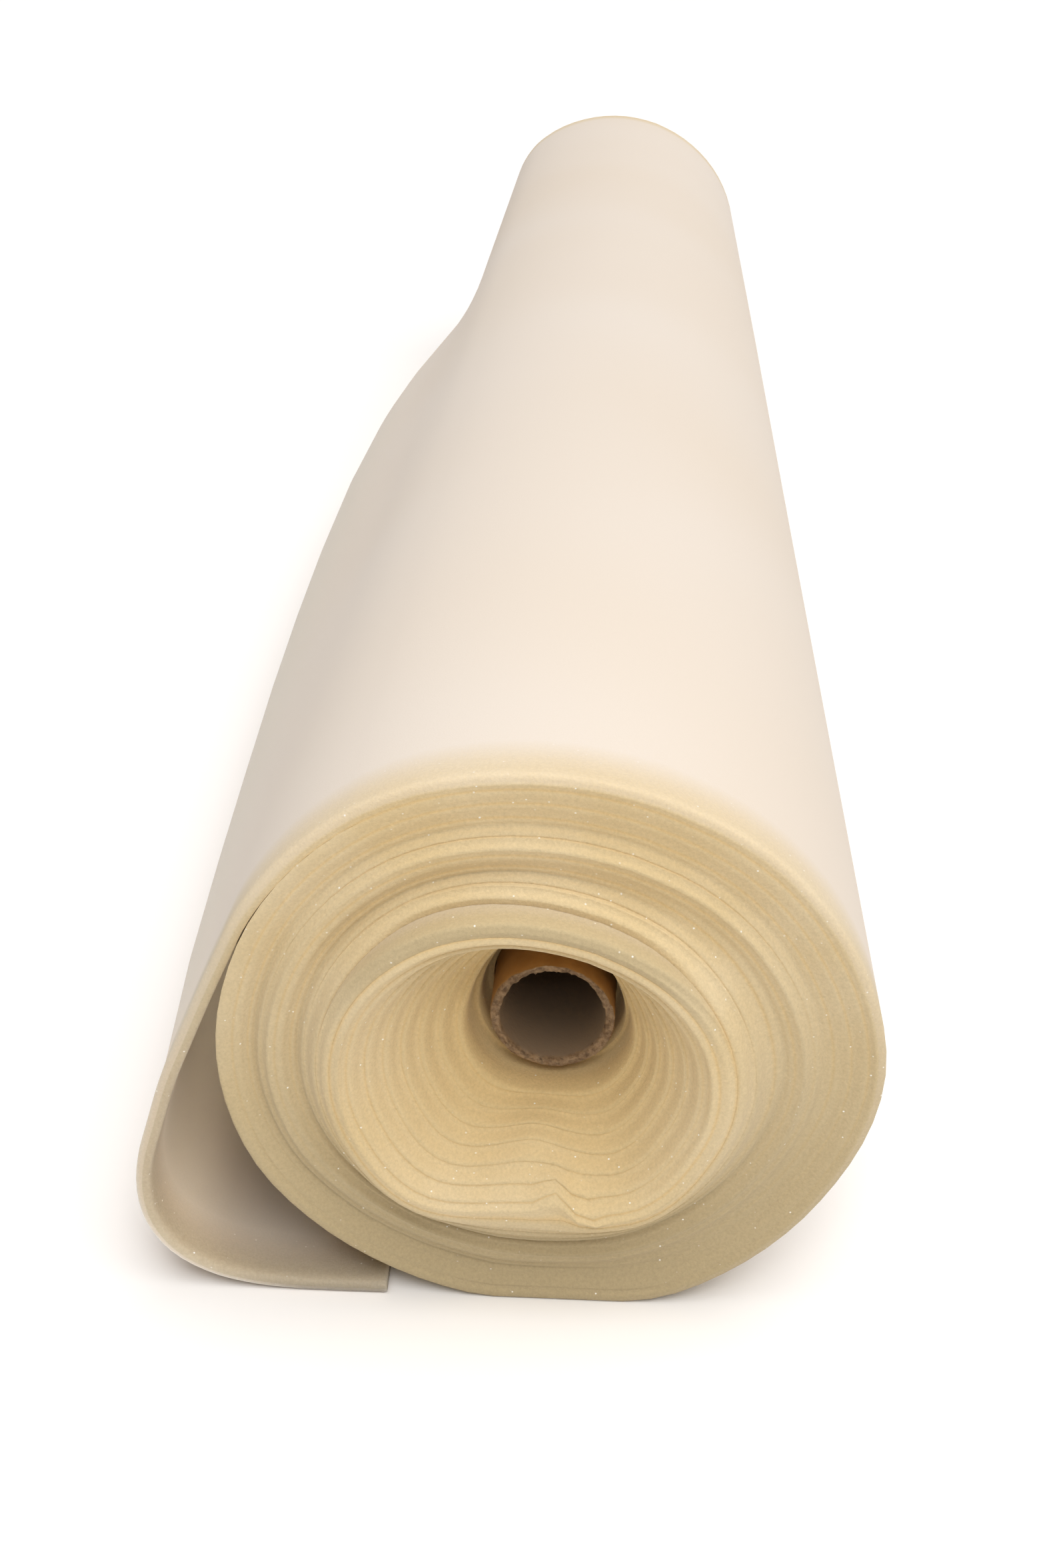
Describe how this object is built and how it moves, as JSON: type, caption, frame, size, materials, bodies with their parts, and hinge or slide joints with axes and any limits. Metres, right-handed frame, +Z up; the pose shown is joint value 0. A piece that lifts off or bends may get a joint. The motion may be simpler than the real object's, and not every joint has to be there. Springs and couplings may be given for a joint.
{
  "type": "roll of foam stabilizer",
  "caption": "Full-width roll of thin faced foam sheet on a cardboard core, lying on its side, with its turns slid into a funnel at one end and its last stretch loose.",
  "frame": {"origin": "on the floor under the roll's axis, halfway along the sheet's width", "axes": "+Y along the roll away from its funnelled near end, +Z up, +X to the right as seen from the near end"},
  "size_m": [0.3332, 1.5775, 0.2532],
  "materials": {
    "foam": "matt open-celled foam, cream with yellowed cut edges",
    "facing": "matt knitted facing, warm white",
    "card": "matt brown cardboard"
  },
  "bodies": {
    "root": {"foam_roll": "foam", "loose_end": "facing", "core_tube": "card"}
  },
  "joints": []
}
